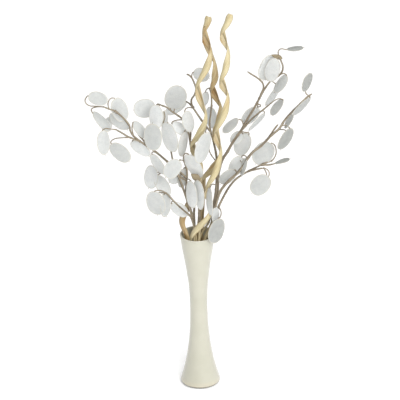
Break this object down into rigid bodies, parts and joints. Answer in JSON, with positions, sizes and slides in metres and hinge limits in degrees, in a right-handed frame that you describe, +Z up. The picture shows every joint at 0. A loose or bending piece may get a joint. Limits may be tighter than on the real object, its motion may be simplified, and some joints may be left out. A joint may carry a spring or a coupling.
{
  "type": "vase of dried honesty",
  "caption": "Slim hourglass ceramic vase holding dried honesty sprays with flat oval silvery pods and curled strips of blond cane.",
  "frame": {"origin": "centre of the vase's flat foot, on the surface it stands on", "axes": "+Z up along the vase, -Y towards the viewer of the picture, +X to the right"},
  "size_m": [0.4514, 0.2278, 0.8411],
  "materials": {
    "vase_glaze": "smooth satin ivory glaze",
    "dried_honesty": "papery silver pods on tan stems",
    "blond_cane": "bare blond cane, satin"
  },
  "bodies": {
    "root": {"vase": "vase_glaze", "honesty_far_left": "dried_honesty", "honesty_side_left": "dried_honesty", "honesty_upper_left": "dried_honesty", "honesty_low_left": "dried_honesty", "honesty_centre": "dried_honesty", "honesty_low_centre": "dried_honesty", "honesty_right_upper": "dried_honesty", "honesty_right_main": "dried_honesty", "honesty_right_low": "dried_honesty", "ribbon_right": "blond_cane", "ribbon_middle": "blond_cane", "ribbon_left": "blond_cane"}
  },
  "joints": []
}
